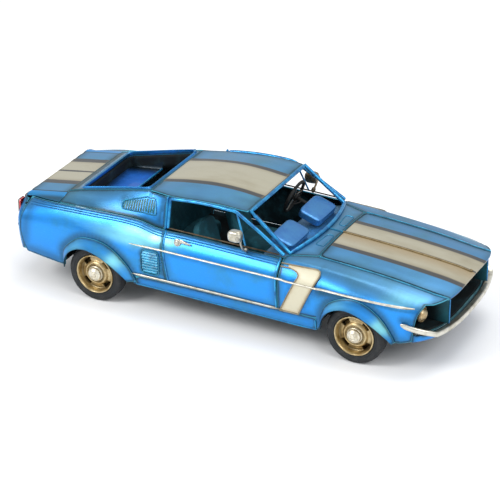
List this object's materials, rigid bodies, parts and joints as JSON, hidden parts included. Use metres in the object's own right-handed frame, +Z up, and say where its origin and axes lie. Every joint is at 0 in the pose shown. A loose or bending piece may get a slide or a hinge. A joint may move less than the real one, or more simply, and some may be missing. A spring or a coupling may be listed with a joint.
{
  "type": "model car",
  "caption": "Sheet-metal display model of a late-1960s style fastback coupe with open windows, twin racing stripes and wheels that roll on two axles.",
  "frame": {"origin": "middle of the length and width, on the surface the tyres stand on", "axes": "+X to the front of the car, +Y to its left, +Z up"},
  "size_m": [0.3143, 0.123, 0.0867],
  "materials": {
    "blue_paint": "pearl metallic blue over sheet steel, with a dark green-black wash in the seams",
    "cream_paint": "aged satin cream",
    "silver_trim": "aged silver paint on steel wire and strip",
    "rim_brass": "antique brass, dark in the recesses",
    "lamp_brass": "antique brass lamp",
    "tyre_rubber": "matt black rubber",
    "black_paint": "matt black paint",
    "red_lamp": "red lamp",
    "bare_steel": "plain steel",
    "seat_paint": "dark teal painted metal"
  },
  "bodies": {
    "body": {"floor_pan": "black_paint", "axle_brackets": "bare_steel", "quarter_panel_right": "blue_paint", "quarter_panel_left": "blue_paint", "door_right": "blue_paint", "door_left": "blue_paint", "fender_right": "blue_paint", "fender_left": "blue_paint", "rocker_right": "blue_paint", "rocker_left": "blue_paint", "roof_panel": "blue_paint", "sail_panel_right": "blue_paint", "sail_panel_left": "blue_paint", "rear_window_frame": "blue_paint", "parcel_tray": "blue_paint", "trunk_lid": "blue_paint", "tail_panel": "blue_paint", "tail_lights": "red_lamp", "rear_bumper": "silver_trim", "cowl_panel": "blue_paint", "hood": "blue_paint", "hood_rib": "cream_paint", "grille_shell": "black_paint", "headlights": "lamp_brass", "front_valance": "blue_paint", "front_bumper": "silver_trim", "flare_front_right": "blue_paint", "flare_front_left": "blue_paint", "flare_rear_right": "blue_paint", "flare_rear_left": "blue_paint", "belt_mouldings": "blue_paint", "side_trims": "silver_trim", "side_stripes": "cream_paint", "side_louvres": "blue_paint", "sail_vents": "blue_paint", "door_mirrors": "silver_trim", "door_handles": "silver_trim", "window_frame_right": "blue_paint", "window_frame_left": "blue_paint", "windshield_frame": "blue_paint", "dashboard": "blue_paint", "steering_column": "black_paint", "front_seats": "seat_paint", "rear_seat": "seat_paint"},
    "front_wheels": {"front_axle": "bare_steel", "tyre_front_right": "tyre_rubber", "tyre_front_left": "tyre_rubber", "rim_front_right": "rim_brass", "rim_front_left": "rim_brass", "hub_cap_front_right": "silver_trim", "hub_cap_front_left": "silver_trim"},
    "rear_wheels": {"rear_axle": "bare_steel", "tyre_rear_right": "tyre_rubber", "tyre_rear_left": "tyre_rubber", "rim_rear_right": "rim_brass", "rim_rear_left": "rim_brass", "hub_cap_rear_right": "silver_trim", "hub_cap_rear_left": "silver_trim"},
    "steering": {"steering_wheel": "black_paint"}
  },
  "joints": [
    {"name": "front_axle_roll", "type": "hinge", "parent": "body", "child": "front_wheels", "pos_m": [0.09865, 0, 0.0198], "axis": [0, 1, 0], "continuous": true},
    {"name": "rear_axle_roll", "type": "hinge", "parent": "body", "child": "rear_wheels", "pos_m": [-0.09135, 0, 0.0198], "axis": [0, 1, 0], "continuous": true},
    {"name": "steering_turn", "type": "hinge", "parent": "body", "child": "steering", "pos_m": [0.01915, 0.021, 0.0685], "axis": [-0.9272, 0, 0.3746], "continuous": true}
  ]
}
